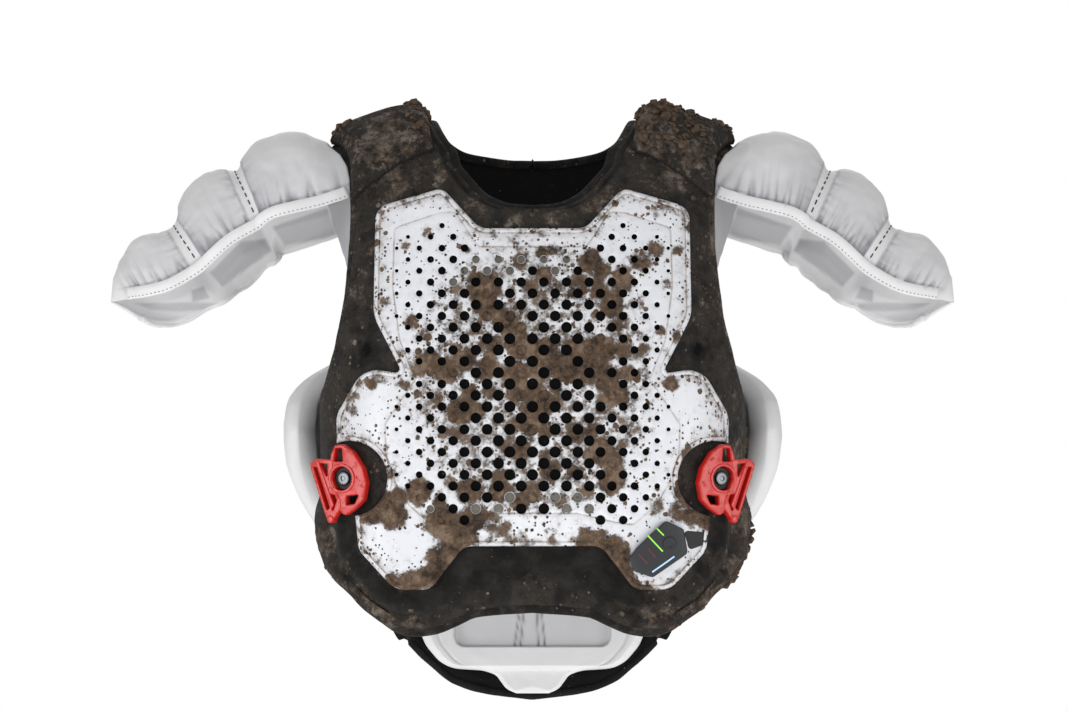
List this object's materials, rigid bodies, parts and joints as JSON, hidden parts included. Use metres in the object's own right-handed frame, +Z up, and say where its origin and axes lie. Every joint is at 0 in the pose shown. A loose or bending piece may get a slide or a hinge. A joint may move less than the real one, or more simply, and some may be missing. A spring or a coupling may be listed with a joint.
{
  "type": "airbag vest",
  "caption": "Padded off-road vest with a pierced rigid chest plate, turning side levers, and inflated shoulder, side and back airbags.",
  "frame": {"origin": "inner side of the shoulder arches, midway between the shoulders, where the vest rests on its wearer", "axes": "+X to the viewer's right when facing the chest, -Y out of the chest, +Z up"},
  "size_m": [0.734, 0.2911, 0.5149],
  "materials": {
    "padded_fabric": "black padded mesh fabric with dried mud",
    "side_fabric": "plain black stretch fabric",
    "airbag_fabric": "white coated airbag cloth, sewn channels",
    "plate_plastic": "white moulded plastic splattered with mud",
    "base_plastic": "black moulded plastic",
    "lever_plastic": "red moulded plastic",
    "bolt_steel": "turned steel cap",
    "display_plastic": "charcoal moulded plastic",
    "button_plastic": "charcoal moulded plastic",
    "green_light": "lit green light bar",
    "blue_light": "lit blue-white light bar"
  },
  "bodies": {
    "root": {"front_panel": "padded_fabric", "back_panel": "padded_fabric", "yoke_left": "padded_fabric", "yoke_right": "padded_fabric", "side_panel_left": "side_fabric", "side_panel_right": "side_fabric", "sleeve_airbag_left": "airbag_fabric", "sleeve_airbag_right": "airbag_fabric", "back_airbag": "airbag_fabric", "chest_plate": "plate_plastic", "lever_base_left": "base_plastic", "lever_bolt_left": "bolt_steel", "lever_base_right": "base_plastic", "lever_bolt_right": "bolt_steel", "display_housing": "display_plastic", "display_button": "button_plastic", "green_light_upper": "green_light", "green_light_lower": "green_light", "blue_light_bar": "blue_light"},
    "lever_left": {"lever_left": "lever_plastic"},
    "lever_right": {"lever_right": "lever_plastic"}
  },
  "joints": [
    {"name": "lever_left_turn", "type": "hinge", "parent": "root", "child": "lever_left", "pos_m": [-0.158, -0.1009, -0.301], "axis": [0.5, 0.866, 0], "range_deg": [0, 70]},
    {"name": "lever_right_turn", "type": "hinge", "parent": "root", "child": "lever_right", "pos_m": [0.158, -0.1009, -0.301], "axis": [0.5, -0.866, 0], "range_deg": [0, 70]}
  ]
}
